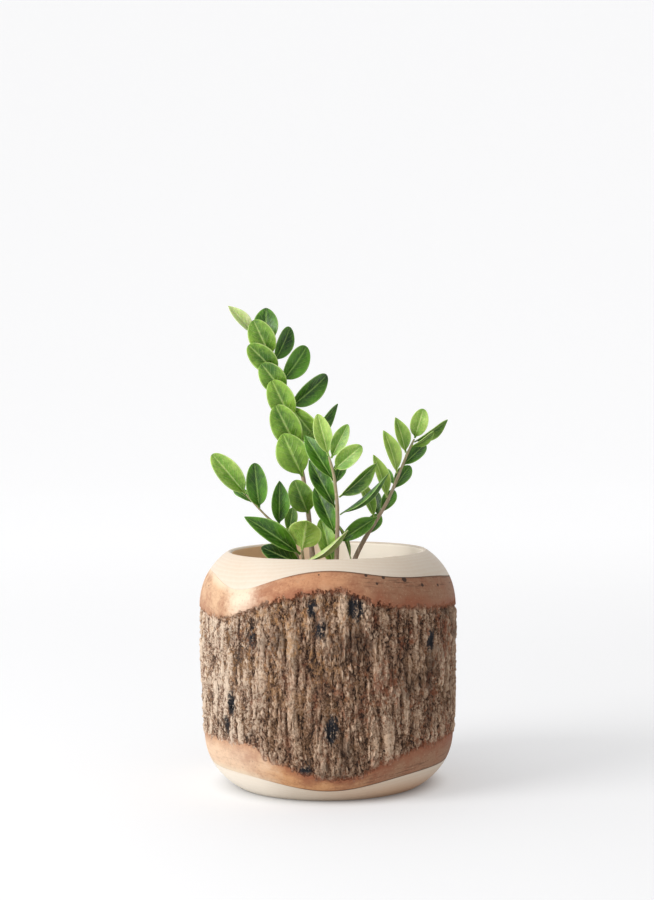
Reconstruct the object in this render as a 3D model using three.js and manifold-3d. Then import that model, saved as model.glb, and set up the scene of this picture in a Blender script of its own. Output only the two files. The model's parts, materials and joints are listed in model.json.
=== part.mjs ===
// A young ZZ plant growing in a pot turned from a length of log.
// The pot is sapwood, hollowed and rounded over at both ends on a lathe. The log wasn't quite round, so the
// rounding cuts through the bark at a height that wanders around the pot: above and below that line the
// wood is bare, and between the two lines the bark is still on. The pot holds soil, the soil holds a
// rhizome, and five leaf stalks rise from it. Each stalk carries leaflets of its own.
// Millimetres, +Z up. The origin is the centre of the pot's foot, and -Y is the front.
import * as THREE from 'three';
import { mergeVertices } from 'three/addons/utils/BufferGeometryUtils.js';
import Module from 'manifold-3d';

const wasm = await Module();
wasm.setup();

// ---- Driving dimensions ----

const GAP = 0.3; // between any two pieces that meet

const pot = {
  height: 181,
  belly: 100, // outer radius where the shoulder starts
  taper: 2.8, // radius lost from there down to where the foot's rounding starts
  footInset: 28, // from the belly's radius in to the edge of the flat that it stands on
  wall: 25.9, // from the belly's radius in to the bore
  lipWidth: 2.9, // from the bore out to the lip's crest
  floor: 20, // thickness of the bottom
  boreCorner: 14, // radius inside, between the wall and the floor
  lip: 2, // drop from the lip's crest to the bore's edge
  shoulder: 49, // height of the rounding at the top
  footRound: 47, // height of the rounding at the bottom
};
pot.waist = pot.belly - pot.taper;
pot.foot = pot.belly - pot.footInset;
pot.bore = pot.belly - pot.wall;
pot.rim = pot.bore + pot.lipWidth;

// The log isn't round. Each wave adds to a size around one angle, in degrees from the front to the right.
const log = {
  inset: 1.7, // how far the bark's face is inside the belly's radius, at half height
  taper: 0.022, // radius gained for each millimetre of height
  flat: { at: 0, rise: -4.9, spread: 26 }, // the flattened side, which faces the front
  barkTop: 7.5, // thickness of the bark where the shoulder cuts it
  barkFoot: 4.6, // and where the foot's rounding cuts it
  barkTopWaves: [
    { at: -43, rise: -4.4, spread: 18 },
    { at: -80, rise: 1.5, spread: 20 },
    { at: 2, rise: 1.4, spread: 22 },
    { at: 88, rise: -2.6, spread: 22 },
    { at: 128, rise: -3, spread: 24 },
    { at: 175, rise: 2.5, spread: 22 },
  ],
  barkFootWaves: [
    { at: 0, rise: 2.8, spread: 27 },
    { at: 150, rise: 1.5, spread: 30 },
    { at: -120, rise: -0.8, spread: 25 },
  ],
  barkEdge: 0.8, // how far the bark is let into the wood at its edge
};

const soil = {
  below: 29, // from the lip's crest down to the soil
  mound: 3, // fall of its surface from the middle to the wall
  lump: 0.6, // height of its unevenness
};
soil.top = pot.height - soil.below;

const leaf = {
  thickness: 0.055, // of its width
  fold: 0.34, // rise of the blade's edges for each unit from the midrib
  arch: 0.1, // rise of the midrib at half length, of its width
  stalk: 0.07, // length of the little stalk, of the leaflet's length
  stalkWidth: 0.09, // of its width
};

const GREEN = { dark: 0x2f5d2a, mid: 0x4f8a34, light: 0x86b74a, pale: 0xc3d58a };

// ---- Small helpers ----

const radians = THREE.MathUtils.degToRad;

// How much of a wave reaches the angle, in degrees from the front.
function wave({ at, rise, spread }, angle) {
  const apart = THREE.MathUtils.euclideanModulo(angle - at + 180, 360) - 180;
  return rise * Math.exp(-((apart / spread) ** 2));
}

const sum = (list) => list.reduce((total, value) => total + value, 0);

// The lathe's rounding, from 0 at the end of the pot to 1 where it meets the side, and its inverse.
const ROUND_ALONG = 2.7;
const ROUND_OUT = 0.9;
const rounding = (t) => (1 - (1 - t) ** ROUND_ALONG) ** ROUND_OUT;
const roundingInverse = (share) => 1 - (1 - share ** (1 / ROUND_OUT)) ** (1 / ROUND_ALONG);

// Radius of the turned surface at a height.
function turnedRadius(z) {
  if (z < pot.footRound) return pot.foot + (pot.waist - pot.foot) * rounding(z / pot.footRound);
  const start = pot.height - pot.shoulder;
  if (z > start) return pot.rim + (pot.belly - pot.rim) * rounding((pot.height - z) / pot.shoulder);
  return THREE.MathUtils.mapLinear(z, pot.footRound, start, pot.waist, pot.belly);
}

// Heights at which the shoulder and the foot have a radius.
const shoulderHeight = (radius) =>
  pot.height - pot.shoulder * roundingInverse((radius - pot.rim) / (pot.belly - pot.rim));
const footHeight = (radius) =>
  pot.footRound * roundingInverse((radius - pot.foot) / (pot.waist - pot.foot));

// Radius of the log over its bark.
const logRadius = (angle, z) =>
  pot.belly - log.inset + log.taper * (z - pot.height / 2) + wave(log.flat, angle);

// The line round the shoulder, or round the foot, where the bark ends and bare wood starts.
function barkLine(angle) {
  const top = log.barkTop + sum(log.barkTopWaves.map((w) => wave(w, angle)));
  const foot = log.barkFoot + sum(log.barkFootWaves.map((w) => wave(w, angle)));
  return {
    top: shoulderHeight(logRadius(angle, pot.height - pot.shoulder / 2) - top),
    foot: footHeight(logRadius(angle, pot.footRound / 2) - foot),
  };
}

// Radius of the wood under the bark.
function woodRadius(angle, z) {
  const line = barkLine(angle);
  const top = turnedRadius(line.top) - log.barkEdge;
  const foot = turnedRadius(line.foot) - log.barkEdge;
  return THREE.MathUtils.mapLinear(z, line.foot, line.top, foot, top);
}

// A ring or pot made from a lathe whose rows are then set by angle: place(row, angle) gives
// [radius, height].
function turned(rows, segments, place) {
  const profile = Array.from({ length: rows }, (_, row) => new THREE.Vector2(1, row));
  const geometry = new THREE.LatheGeometry(profile, segments);
  const position = geometry.getAttribute('position');
  for (let i = 0; i < position.count; i++) {
    const row = i % rows;
    const turn = (Math.floor(i / rows) % segments) / segments;
    const angle = turn * 360;
    const [radius, height] = place(row, angle);
    position.setXYZ(i, radius * Math.sin(radians(angle)), -radius * Math.cos(radians(angle)), height);
  }
  return geometry;
}

// ---- Solids for cutting and joining ----

function toSolid(geometry) {
  const bare = geometry.clone();
  for (const name of Object.keys(bare.attributes)) if (name !== 'position') bare.deleteAttribute(name);
  const merged = mergeVertices(bare, 1e-4);
  return new wasm.Manifold(
    new wasm.Mesh({
      numProp: 3,
      vertProperties: new Float32Array(merged.getAttribute('position').array),
      triVerts: new Uint32Array(merged.index.array),
    }),
  );
}

function toGeometry(solid) {
  const mesh = solid.getMesh();
  const geometry = new THREE.BufferGeometry();
  geometry.setAttribute('position', new THREE.BufferAttribute(mesh.vertProperties, 3));
  geometry.setIndex(new THREE.BufferAttribute(mesh.triVerts, 1));
  geometry.computeVertexNormals();
  return geometry;
}

// ---- Materials ----

const finish = (color, roughness) =>
  new THREE.MeshStandardMaterial({ color, roughness, metalness: 0 });

const finishes = {
  wood: finish(0xe6d3b3, 0.55),
  bark: finish(0x7d6350, 0.95),
  soil: finish(0x3a2c22, 1),
  rhizome: finish(0xa98a62, 0.8),
  stalk: finish(0x9a8f74, 0.6),
  dark: finish(GREEN.dark, 0.35),
  mid: finish(GREEN.mid, 0.38),
  light: finish(GREEN.light, 0.42),
  pale: finish(GREEN.pale, 0.5),
};

// ---- The pot ----

const SEGMENTS = 60; // round the pot
const BEHIND_BARK = 4; // steps up the wood behind the bark

// A point of the wood behind the bark, or one that stands clear of it on all sides.
function behindBark(angle, share, clear) {
  const line = barkLine(angle);
  const z = THREE.MathUtils.lerp(line.foot + clear, line.top - clear, share);
  return [woodRadius(angle, z) + clear, z];
}

function potWood() {
  const outer = 7; // steps along each rounding
  const corner = 4; // steps round the corner of the bore
  const crest = 3; // steps from the lip's crest to the bore
  const place = [];
  const at = (height) => (angle) => [turnedRadius(height(angle)), height(angle)];
  place.push(() => [0, 0]);
  for (let i = 0; i <= outer; i++) place.push(at((angle) => (barkLine(angle).foot * i) / outer));
  for (let i = 0; i <= BEHIND_BARK; i++) place.push((angle) => behindBark(angle, i / BEHIND_BARK, 0));
  for (let i = 0; i <= outer; i++) {
    const share = Math.sin((Math.PI / 2) * (i / outer)); // closest together at the lip
    place.push(at((angle) => THREE.MathUtils.lerp(barkLine(angle).top, pot.height, share)));
  }
  for (let i = 1; i <= crest; i++) {
    const turn = ((Math.PI / 2) * i) / crest;
    const across = Math.sin(turn);
    const down = 1 - Math.cos(turn);
    place.push(() => [pot.rim - pot.lipWidth * across, pot.height - pot.lip * down]);
  }
  for (let i = 0; i <= corner; i++) {
    const turn = radians((90 * i) / corner);
    place.push(() => [
      pot.bore - pot.boreCorner * (1 - Math.cos(turn)),
      pot.floor + pot.boreCorner * (1 - Math.sin(turn)),
    ]);
  }
  place.push(() => [0, pot.floor]);
  return turned(place.length, SEGMENTS, (row, angle) => place[row](angle));
}

function barkBand() {
  const rows = 12; // up the outside, closest together where the lathe has rounded it
  const place = [];
  for (let i = 0; i <= rows; i++) {
    const share = (1 - Math.cos((Math.PI * i) / rows)) / 2;
    place.push((angle) => {
      const line = barkLine(angle);
      const z = THREE.MathUtils.lerp(line.foot + GAP, line.top - GAP, share);
      return [Math.min(turnedRadius(z), logRadius(angle, z)), z];
    });
  }
  for (let i = BEHIND_BARK; i >= 0; i--) place.push((angle) => behindBark(angle, i / BEHIND_BARK, GAP));
  place.push(place[0]);
  return turned(place.length, SEGMENTS, (row, angle) => place[row](angle));
}

// ---- The stalks ----

// Each stalk's path starts in the rhizome. Its heights are above the soil. foot and tip are its end radii.
const stalks = {
  tall: {
    path: [
      [-8.5, -6, -31],
      [-10, -5, 0],
      [-14, 4, 56],
      [-21, 15, 102],
      [-31.5, 25, 148.5],
      [-42.5, 33, 179],
      [-59, 39, 202],
    ],
    foot: 3.1,
    tip: 0.9,
  },
  left: {
    path: [
      [-21, 1, -31],
      [-21, -2, 0],
      [-23, -9, 26],
      [-31, -12, 42.5],
      [-45, -14, 55],
      [-54, -15, 65],
      [-62, -16, 74],
    ],
    foot: 1.9,
    tip: 0.8,
  },
  front: {
    path: [
      [-10, -12, -31],
      [-14, -19, 0],
      [-17.5, -27, 18],
      [-19, -32, 32],
    ],
    foot: 2,
    tip: 1.1,
  },
  middle: {
    path: [
      [5, -11, -31],
      [6, -16, 0],
      [7.3, -19, 24],
      [8.4, -21, 63],
      [7, -22, 80],
      [5, -22, 93],
      [2, -22, 103],
    ],
    foot: 3.2,
    tip: 1.1,
  },
  right: {
    path: [
      [12, 1, -31],
      [15, 3, 0],
      [22, 4, 22.5],
      [36, 6, 47.5],
      [46, 8, 62],
      [56.5, 10, 86],
      [65, 12, 105.5],
      [69.5, 13, 114.5],
    ],
    foot: 3.1,
    tip: 0.9,
  },
};

// A tapered rod bent on to a curve. grow widens it all round.
function rod({ curve, foot, tip }, grow = 0, sides = 8, steps = 12) {
  const geometry = new THREE.CylinderGeometry(1, 1, 1, sides, steps);
  const position = geometry.getAttribute('position');
  const front = new THREE.Vector3(0, -1, 0);
  for (let i = 0; i < position.count; i++) {
    const u = position.getY(i) + 0.5;
    const along = curve.getTangentAt(u);
    const across = new THREE.Vector3().crossVectors(front, along).normalize();
    const out = new THREE.Vector3().crossVectors(along, across);
    const radius = THREE.MathUtils.lerp(foot, tip, u ** 0.7) + grow;
    const point = curve
      .getPointAt(u)
      .addScaledVector(across, radius * position.getX(i))
      .addScaledVector(out, -radius * position.getZ(i));
    if (grow) point.addScaledVector(along, (u - 0.5) * 2 * grow);
    position.setXYZ(i, point.x, point.y, point.z);
  }
  return geometry;
}

for (const stalk of Object.values(stalks)) {
  const points = stalk.path.map(([x, y, z]) => new THREE.Vector3(x, y, soil.top + z));
  stalk.curve = new THREE.CatmullRomCurve3(points);
}

// ---- The rhizome and the soil ----

// Heights are above the soil, so a buried lump's is negative. Each size is half the lump's own.
const lumps = [
  { at: [-8, -4, -34], size: [19, 15, 11] },
  { at: [9, -6, -35], size: [16, 14, 12] },
  { at: [-20, 0, -36], size: [12, 12, 10] },
];

function rhizomeSolid(grow) {
  const parts = lumps.map(({ at: [x, y, z], size: [wide, deep, tall] }) => {
    const lump = new THREE.SphereGeometry(1, 12, 8).rotateX(Math.PI / 2);
    lump.scale(wide + grow, deep + grow, tall + grow).translate(x, y, soil.top + z);
    return toSolid(lump);
  });
  return parts.reduce((joined, part) => joined.add(part));
}

function soilBody() {
  const radius = pot.bore - GAP;
  const inner = pot.boreCorner;
  const rings = [0, 0.3, 0.55, 0.8, 1];
  const place = [() => [0, pot.floor + GAP]];
  for (const turn of [0, 30, 60, 90]) {
    place.push(() => [
      radius - inner * (1 - Math.sin(radians(turn))),
      pot.floor + GAP + inner * (1 - Math.cos(radians(turn))),
    ]);
  }
  for (const share of rings.toReversed()) {
    place.push((angle) => {
      const dip = soil.mound * share ** 2;
      const lump = share < 1 ? share * soil.lump * Math.sin(radians(angle * 3 + 40)) : 0;
      return [radius * share, soil.top - dip + lump];
    });
  }
  let body = toSolid(turned(place.length, 32, (row, angle) => place[row](angle)));
  body = body.subtract(rhizomeSolid(GAP));
  for (const stalk of Object.values(stalks)) body = body.subtract(toSolid(rod(stalk, GAP)));
  return toGeometry(body);
}

const rhizomeBody = () => {
  let body = rhizomeSolid(0);
  for (const stalk of Object.values(stalks)) body = body.subtract(toSolid(rod(stalk, GAP)));
  return toGeometry(body);
};

// ---- The leaflets ----

// Outlines: half width, as a share of the whole width, at a share of the blade's length.
const outlines = {
  round: (t) => 0.5 * Math.sin(Math.PI * t ** 1.05) ** 0.62,
  oval: (t) => 0.5 * Math.sin(Math.PI * t ** 0.92) ** 0.8,
  lance: (t) => 0.5 * Math.sin(Math.PI * t ** 0.8) ** 1.05,
};

const STATIONS = [0, 0.07, 0.19, 0.34, 0.5, 0.66, 0.82, 0.94, 1];

// A unit leaflet: its stalk starts at the origin and its tip is at +X. +Z is its upper side.
function leaflet(outline) {
  const geometry = new THREE.SphereGeometry(1, 8, STATIONS.length - 1);
  const position = geometry.getAttribute('position');
  for (let i = 0; i < position.count; i++) {
    const row = Math.round((Math.acos(THREE.MathUtils.clamp(position.getY(i), -1, 1)) / Math.PI) * 8);
    const s = STATIONS[row];
    const round = Math.atan2(position.getZ(i), position.getX(i));
    const blade = Math.max(0, (s - leaf.stalk) / (1 - leaf.stalk));
    const half = row === 0 || row === 8 ? 0 : Math.max(leaf.stalkWidth / 2, outline(blade));
    const thick = (leaf.thickness / 2) * (row === 0 || row === 8 ? 0 : 1);
    const y = half * Math.cos(round);
    const z = thick * Math.sin(round) + leaf.fold * Math.abs(y) + leaf.arch * 4 * s * (1 - s);
    position.setXYZ(i, s, y, z);
  }
  return geometry;
}

const unitLeaflets = Object.fromEntries(Object.entries(outlines).map(([name, f]) => [name, leaflet(f)]));

// Each leaflet: at, where on its stalk, as a share of the stalk's length. reach, from there to its tip.
// width and shape. turn, how far its upper side is turned from the stalk's own face, round the leaflet's
// length, in degrees. lift, which side of the stalk it starts from: 1 over its face, -1 under it.
const fronds = {
  tall: {
    face: [-0.1, -1, 0.25],
    leaflets: [
      { at: 0.98, reach: [-19.5, -4, 23], width: 10, shape: 'lance', tone: 'pale', turn: 20, lift: 0 },
      { at: 0.92, reach: [-0.5, 5, 32], width: 18, shape: 'oval', tone: 'dark', turn: 0, lift: 0 },
      { at: 0.885, reach: [-13.5, -5, 29.5], width: 19, shape: 'round', tone: 'mid', turn: 0, lift: 1 },
      { at: 0.825, reach: [-23, -5, 23], width: 17, shape: 'round', tone: 'mid', turn: 0, lift: 1 },
      { at: 0.755, reach: [-17.5, -5, 24], width: 18, shape: 'round', tone: 'mid', turn: 0, lift: 1 },
      { at: 0.665, reach: [-15, -5, 32], width: 19, shape: 'round', tone: 'mid', turn: 0, lift: 1 },
      { at: 0.57, reach: [-17, -5, 35], width: 21, shape: 'round', tone: 'mid', turn: 0, lift: 1 },
      { at: 0.48, reach: [-15, -4, 34], width: 23, shape: 'oval', tone: 'mid', turn: 0, lift: 1 },
      { at: 0.36, reach: [-10, -9, 26], width: 18, shape: 'round', tone: 'mid', turn: 0, lift: 1 },
      { at: 0.87, reach: [13, 8, 27], width: 14, shape: 'round', tone: 'dark', turn: 40, lift: 0 },
      { at: 0.8, reach: [20, 8, 27], width: 17, shape: 'round', tone: 'dark', turn: 35, lift: 0 },
      { at: 0.71, reach: [29, 8, 25], width: 16, shape: 'round', tone: 'dark', turn: 35, lift: 0 },
      { at: 0.59, reach: [31, 13, 31], width: 12, shape: 'lance', tone: 'dark', turn: 60, lift: -0.5 },
      { at: 0.72, reach: [28.5, -8, -36], width: 17, shape: 'oval', tone: 'mid', turn: 12, lift: 0.6 },
    ],
  },
  left: {
    face: [0, -1, 0.3],
    leaflets: [
      { at: 1, reach: [-25, -3, 31], width: 18, shape: 'round', tone: 'light', turn: 0, lift: 0 },
      { at: 0.88, reach: [-3, -6, 35], width: 16.5, shape: 'round', tone: 'dark', turn: 0, lift: 1 },
      { at: 0.94, reach: [-14, 6, 9], width: 10, shape: 'oval', tone: 'dark', turn: 30, lift: -1 },
      { at: 0.71, reach: [1, -4, 35], width: 15, shape: 'lance', tone: 'dark', turn: 15, lift: 1 },
      { at: 0.62, reach: [3, 12, 21], width: 10, shape: 'oval', tone: 'mid', turn: 0, lift: 0 },
      { at: 0.56, reach: [-8, -9, 13], width: 8, shape: 'lance', tone: 'light', turn: 70, lift: 1 },
    ],
  },
  front: {
    face: [0, -1, 0.3],
    leaflets: [
      { at: 1, reach: [4, -14, 24], width: 26, shape: 'round', tone: 'light', turn: 180, lift: 0 },
      { at: 0.95, reach: [-42, -8, 30], width: 17, shape: 'lance', tone: 'dark', turn: 10, lift: 0 },
      { at: 0.8, reach: [-31, -2, 15], width: 16, shape: 'oval', tone: 'dark', turn: 0, lift: 0 },
      { at: 0.84, reach: [33, -9, 25], width: 11, shape: 'lance', tone: 'pale', turn: 84, lift: 0 },
    ],
  },
  middle: {
    face: [0, -1, 0.25],
    leaflets: [
      { at: 1, reach: [-8, 2, 32], width: 14, shape: 'oval', tone: 'light', turn: 0, lift: 0 },
      { at: 0.985, reach: [13, -3, 26], width: 12, shape: 'oval', tone: 'light', turn: 0, lift: 0 },
      { at: 0.92, reach: [21, -7, 18], width: 15, shape: 'round', tone: 'light', turn: 0, lift: 0 },
      { at: 0.76, reach: [29, -4, 26], width: 13, shape: 'lance', tone: 'mid', turn: 40, lift: 0 },
      { at: 0.66, reach: [38, -6, 32], width: 11, shape: 'lance', tone: 'dark', turn: 82, lift: 0 },
      { at: 0.84, reach: [6, 10, 17], width: 10, shape: 'oval', tone: 'dark', turn: 0, lift: -1 },
      { at: 0.86, reach: [-22, 9, 35], width: 15, shape: 'lance', tone: 'dark', turn: 0, lift: -0.4 },
      { at: 0.7, reach: [-20, 11, 37], width: 15, shape: 'lance', tone: 'dark', turn: 0, lift: 0 },
      { at: 0.55, reach: [-15, 12, 36], width: 15, shape: 'oval', tone: 'dark', turn: 0, lift: 0 },
      { at: 0.35, reach: [-10, 12, 38], width: 15, shape: 'oval', tone: 'mid', turn: 0, lift: 0 },
    ],
  },
  right: {
    face: [0, -1, 0.25],
    leaflets: [
      { at: 0.81, reach: [-10, -5, 34], width: 13, shape: 'lance', tone: 'light', turn: 25, lift: 0 },
      { at: 0.92, reach: [-8, -4, 28], width: 13, shape: 'lance', tone: 'light', turn: 20, lift: 0 },
      { at: 1, reach: [7, -2, 23], width: 14, shape: 'round', tone: 'light', turn: 0, lift: 0 },
      { at: 0.985, reach: [27, 5, 17], width: 10, shape: 'lance', tone: 'mid', turn: 50, lift: 0 },
      { at: 0.96, reach: [17, -8, 11], width: 9, shape: 'oval', tone: 'mid', turn: 60, lift: 0 },
      { at: 0.86, reach: [18, 11, 16], width: 12, shape: 'round', tone: 'dark', turn: 0, lift: -0.5 },
      { at: 0.73, reach: [14, 12, 18], width: 12, shape: 'oval', tone: 'dark', turn: 0, lift: -0.5 },
      { at: 0.6, reach: [11, 12, 17], width: 11, shape: 'oval', tone: 'dark', turn: 0, lift: -0.5 },
      { at: 0.47, reach: [11, 12, 16], width: 11, shape: 'oval', tone: 'dark', turn: 0, lift: -0.5 },
      { at: 0.57, reach: [-28, -9, -17], width: 13, shape: 'oval', tone: 'dark', turn: 0, lift: 1 },
      { at: 0.56, reach: [-12, -7, 31], width: 10, shape: 'lance', tone: 'light', turn: 20, lift: 0 },
      { at: 0.68, reach: [-10, -6, 34], width: 11, shape: 'lance', tone: 'light', turn: 20, lift: 0 },
      { at: 0.58, reach: [-3, 12, 20], width: 9, shape: 'oval', tone: 'dark', turn: 0, lift: -1 },
      { at: 0.755, reach: [-9, 14, 12], width: 7, shape: 'oval', tone: 'dark', turn: 0, lift: -1 },
      { at: 0.33, reach: [-12, 4, 31], width: 8, shape: 'lance', tone: 'mid', turn: 75, lift: 0 },
    ],
  },
};

// Puts a unit leaflet on its stalk.
function placeLeaflet(stalk, face, { at, reach, width, shape, tone, turn, lift }) {
  const along = stalk.curve.getTangentAt(at);
  const to = new THREE.Vector3(...reach);
  const direction = to.clone().normalize();
  const up = new THREE.Vector3(...face)
    .addScaledVector(direction, -new THREE.Vector3(...face).dot(direction))
    .normalize()
    .applyAxisAngle(direction, radians(turn));
  const out = direction.clone().addScaledVector(up, lift);
  out.addScaledVector(along, -out.dot(along)).normalize();
  const radius = THREE.MathUtils.lerp(stalk.foot, stalk.tip, at ** 0.7);
  const start = stalk.curve.getPointAt(at);
  if (at === 1) start.addScaledVector(along, 2 * GAP);
  else start.addScaledVector(out, radius + GAP);
  const mesh = new THREE.Mesh(unitLeaflets[shape], finishes[tone]);
  const across = new THREE.Vector3().crossVectors(up, direction);
  mesh.quaternion.setFromRotationMatrix(new THREE.Matrix4().makeBasis(direction, across, up));
  mesh.position.copy(start);
  mesh.scale.set(to.length(), width, width);
  return mesh;
}

// ---- The object ----

const part = new THREE.Group();

function add(name, geometry, material) {
  const mesh = new THREE.Mesh(geometry, material);
  mesh.name = name;
  part.add(mesh);
}

add('pot_wood', potWood(), finishes.wood);
add('bark_band', barkBand(), finishes.bark);
add('soil', soilBody(), finishes.soil);
add('rhizome', rhizomeBody(), finishes.rhizome);
for (const [name, stalk] of Object.entries(stalks)) {
  add(`${name}_stalk`, rod(stalk), finishes.stalk);
  fronds[name].leaflets.forEach((entry, i) => {
    const mesh = placeLeaflet(stalk, fronds[name].face, entry);
    mesh.name = `${name}_leaflet_${String(i + 1).padStart(2, '0')}`;
    part.add(mesh);
  });
}

export default part;
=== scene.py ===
"""A young ZZ plant in a pot turned from a log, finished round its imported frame.

The pot is bare sapwood where the lathe cut deepest. Between the two wandering lines where the bark starts,
the lathe has bared the orange inner bark, and where it never reached the log's own face the rough bark is
still on. Leaflets, stalks and soil stand in their places in the frame.
"""

import json
import logging
import math
from dataclasses import dataclass, field
from enum import Enum
from typing import Callable

import bpy
import numpy as np
from mathutils import Matrix, Vector


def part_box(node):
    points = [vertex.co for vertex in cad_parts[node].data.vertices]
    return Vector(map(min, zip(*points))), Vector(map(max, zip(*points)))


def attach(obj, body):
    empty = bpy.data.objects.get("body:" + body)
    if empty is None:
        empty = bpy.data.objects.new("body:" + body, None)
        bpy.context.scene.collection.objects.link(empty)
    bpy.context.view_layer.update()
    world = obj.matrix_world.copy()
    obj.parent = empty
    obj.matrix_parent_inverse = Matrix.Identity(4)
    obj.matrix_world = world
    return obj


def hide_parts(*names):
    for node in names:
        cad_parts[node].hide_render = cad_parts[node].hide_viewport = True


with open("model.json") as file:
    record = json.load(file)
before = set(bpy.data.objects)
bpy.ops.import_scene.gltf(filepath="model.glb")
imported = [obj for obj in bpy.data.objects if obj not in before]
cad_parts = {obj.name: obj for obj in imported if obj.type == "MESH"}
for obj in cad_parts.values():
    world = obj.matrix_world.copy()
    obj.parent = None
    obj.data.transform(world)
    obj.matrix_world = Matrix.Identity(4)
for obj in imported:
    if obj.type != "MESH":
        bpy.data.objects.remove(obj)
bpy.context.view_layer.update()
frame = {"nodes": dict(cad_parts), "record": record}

LOG = logging.getLogger("potted_plant")
ROOT = "root"
MM = 0.001

Triple = tuple[float, float, float]
Colour = Triple
Mark = tuple[Triple, float]
Row = Callable[[np.ndarray], tuple[np.ndarray, np.ndarray]]


# ---- Wiring materials ----


def srgb(red: int, green: int, blue: int) -> Colour:
    """Gives the linear colour of three sRGB values from 0 to 255."""
    shares = (red / 255, green / 255, blue / 255)
    return tuple(s / 12.92 if s <= 0.04045 else ((s + 0.055) / 1.055) ** 2.4 for s in shares)


def operator(operation: str, swapped: bool = False) -> Callable[["Signal", object], "Signal"]:
    """Makes the method behind one of Python's operators.

    Args:
        operation: The Math node's operation.
        swapped: Whether the signal stands on the operator's right.

    Returns:
        The method, which adds the node.
    """

    def method(signal: "Signal", other: object) -> "Signal":
        """Adds the node."""
        first, second = (other, signal) if swapped else (signal, other)
        return signal.wiring.node("ShaderNodeMath", {"operation": operation}, {0: first, 1: second})

    return method


class Signal:
    """A socket of a material's tree, which Python's operators can be used on."""

    __add__ = operator("ADD")
    __radd__ = operator("ADD", swapped=True)
    __sub__ = operator("SUBTRACT")
    __rsub__ = operator("SUBTRACT", swapped=True)
    __mul__ = operator("MULTIPLY")
    __rmul__ = operator("MULTIPLY", swapped=True)
    __truediv__ = operator("DIVIDE")
    __pow__ = operator("POWER")

    def __init__(self, wiring: "Wiring", socket: bpy.types.NodeSocket) -> None:
        """Wraps a socket."""
        self.wiring = wiring
        self.socket = socket

    def __abs__(self) -> "Signal":
        """Drops the sign."""
        return self.wiring.node("ShaderNodeMath", {"operation": "ABSOLUTE"}, {0: self})

    def ramp(self, low: float, high: float) -> "Signal":
        """Gives 0 at low and 1 at high, smoothly.

        Args:
            low: The value that becomes 0.
            high: The value that becomes 1. It may be less than low.

        Returns:
            The share between them.
        """
        if low > high:
            return 1 - self.ramp(high, low)
        settings = {"interpolation_type": "SMOOTHSTEP"}
        return self.wiring.node("ShaderNodeMapRange", settings, {"Value": self, 1: low, 2: high})


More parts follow.
